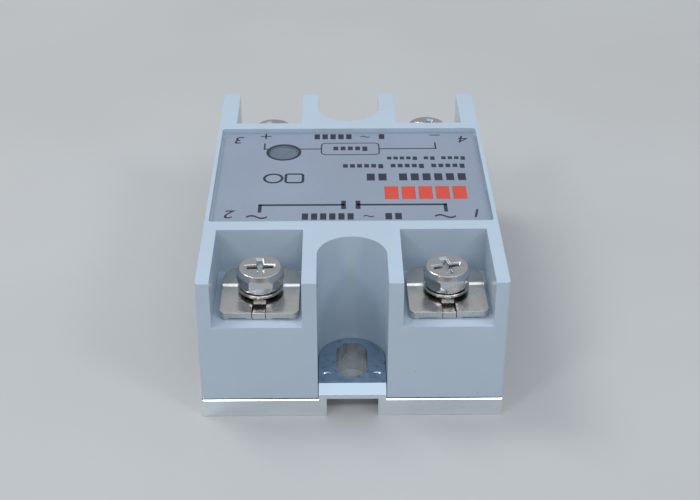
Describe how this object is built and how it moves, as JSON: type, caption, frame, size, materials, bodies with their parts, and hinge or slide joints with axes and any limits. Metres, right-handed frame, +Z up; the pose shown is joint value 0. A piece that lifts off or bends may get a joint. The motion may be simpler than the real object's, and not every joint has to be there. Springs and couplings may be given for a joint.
{
  "type": "solid state relay",
  "caption": "Block-shaped solid state relay: moulded casing on a metal base, clamp screw terminals in open bays at both ends, label panel with indicator window, end mounting slots.",
  "frame": {"origin": "centre of the base plate's underside", "axes": "+Z up through the casing, -Y towards the output end with terminals 1 and 2, +Y towards the input end, +X towards terminals 1 and 4"},
  "size_m": [0.045, 0.0624, 0.0235],
  "materials": {
    "die_cast_aluminium": "bright die-cast skin",
    "casing_abs": "light grey moulded ABS, semi-gloss",
    "label_film": "satin silver printed film",
    "window": "smoked translucent plastic",
    "sealant": "cured silicone",
    "board_laminate": "phenolic laminate",
    "alumina": "unglazed ceramic",
    "black_epoxy": "moulded epoxy",
    "tinned_copper": "dull tin plate",
    "resistor_lacquer": "lacquer",
    "capacitor_case": "moulded case",
    "opto_case": "moulded epoxy",
    "red_lens": "tinted clear resin",
    "tinned_brass": "thin tin plate on brass",
    "nickel_plate": "bright nickel plate on steel",
    "spring_steel": "plated spring steel"
  },
  "bodies": {
    "housing": {"base_plate": "die_cast_aluminium", "casing": "casing_abs", "label_plate": "label_film", "led_window": "window", "base_seal": "sealant", "circuit_board": "board_laminate", "ceramic_insulator": "alumina", "triac_body": "black_epoxy", "triac_tab": "tinned_copper", "triac_lead_1": "tinned_copper", "triac_lead_2": "tinned_copper", "triac_gate_lead": "tinned_copper", "snubber_resistor": "resistor_lacquer", "snubber_capacitor": "capacitor_case", "input_resistor": "resistor_lacquer", "rectifier_diode": "black_epoxy", "optocoupler": "opto_case", "limiter_transistor": "black_epoxy", "indicator_led": "red_lens", "output_terminal_1": "tinned_brass", "output_terminal_2": "tinned_brass", "input_terminal_3": "tinned_brass", "input_terminal_4": "tinned_brass"},
    "clamp_1": {"wire_clamp_1": "nickel_plate", "spring_washer_1": "spring_steel"},
    "screw_1": {"terminal_screw_1": "nickel_plate"},
    "clamp_2": {"wire_clamp_2": "nickel_plate", "spring_washer_2": "spring_steel"},
    "screw_2": {"terminal_screw_2": "nickel_plate"},
    "clamp_3": {"wire_clamp_3": "nickel_plate", "spring_washer_3": "spring_steel"},
    "screw_3": {"terminal_screw_3": "nickel_plate"},
    "clamp_4": {"wire_clamp_4": "nickel_plate", "spring_washer_4": "spring_steel"},
    "screw_4": {"terminal_screw_4": "nickel_plate"}
  },
  "joints": [
    {"name": "clamp_lift_1", "type": "slide", "parent": "housing", "child": "clamp_1", "axis": [0, 0, 1], "range_m": [0, 0.0049]},
    {"name": "screw_turn_1", "type": "hinge", "parent": "clamp_1", "child": "screw_1", "pos_m": [0.0139, -0.0233, 0.01838], "axis": [0, 0, 1], "range_deg": [0, 2520]},
    {"name": "clamp_lift_2", "type": "slide", "parent": "housing", "child": "clamp_2", "axis": [0, 0, 1], "range_m": [0, 0.0049]},
    {"name": "screw_turn_2", "type": "hinge", "parent": "clamp_2", "child": "screw_2", "pos_m": [-0.01345, -0.0233, 0.01838], "axis": [0, 0, 1], "range_deg": [0, 2520]},
    {"name": "clamp_lift_3", "type": "slide", "parent": "housing", "child": "clamp_3", "axis": [0, 0, 1], "range_m": [0, 0.0049]},
    {"name": "screw_turn_3", "type": "hinge", "parent": "clamp_3", "child": "screw_3", "pos_m": [-0.0133, 0.0237, 0.01773], "axis": [0, 0, 1], "range_deg": [0, 2520]},
    {"name": "clamp_lift_4", "type": "slide", "parent": "housing", "child": "clamp_4", "axis": [0, 0, 1], "range_m": [0, 0.0049]},
    {"name": "screw_turn_4", "type": "hinge", "parent": "clamp_4", "child": "screw_4", "pos_m": [0.01375, 0.0237, 0.01808], "axis": [0, 0, 1], "range_deg": [0, 2520]}
  ],
  "couplings": [
    {"joint": "screw_turn_1", "follows": "clamp_lift_1", "rad_per_m": 8976},
    {"joint": "screw_turn_2", "follows": "clamp_lift_2", "rad_per_m": 8976},
    {"joint": "screw_turn_3", "follows": "clamp_lift_3", "rad_per_m": 8976},
    {"joint": "screw_turn_4", "follows": "clamp_lift_4", "rad_per_m": 8976}
  ]
}
